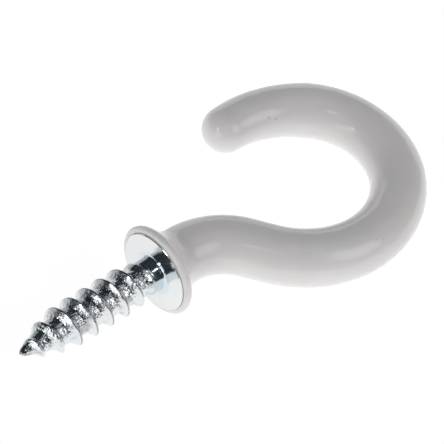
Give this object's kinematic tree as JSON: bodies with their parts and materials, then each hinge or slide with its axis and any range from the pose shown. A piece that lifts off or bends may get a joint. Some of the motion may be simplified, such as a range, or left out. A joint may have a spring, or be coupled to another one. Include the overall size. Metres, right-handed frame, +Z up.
{
  "type": "screw hook",
  "caption": "Shouldered cup hook: a bent steel wire in a white plastic coat, with a round collar and a pointed wood-screw thread, for hanging light things.",
  "frame": {"origin": "centre of the collar's bare seat face, on the screw's axis", "axes": "-X along the screw towards its point, +X towards the hook, +Y to the side of the hook's tip, +Z up, square to the level plane of the hook"},
  "size_m": [0.0423, 0.021, 0.0082],
  "materials": {
    "zinc_plated_steel": "gloss",
    "white_plastic": "gloss"
  },
  "bodies": {
    "root": {"steel_hook": "zinc_plated_steel", "plastic_coat": "white_plastic"}
  },
  "joints": []
}
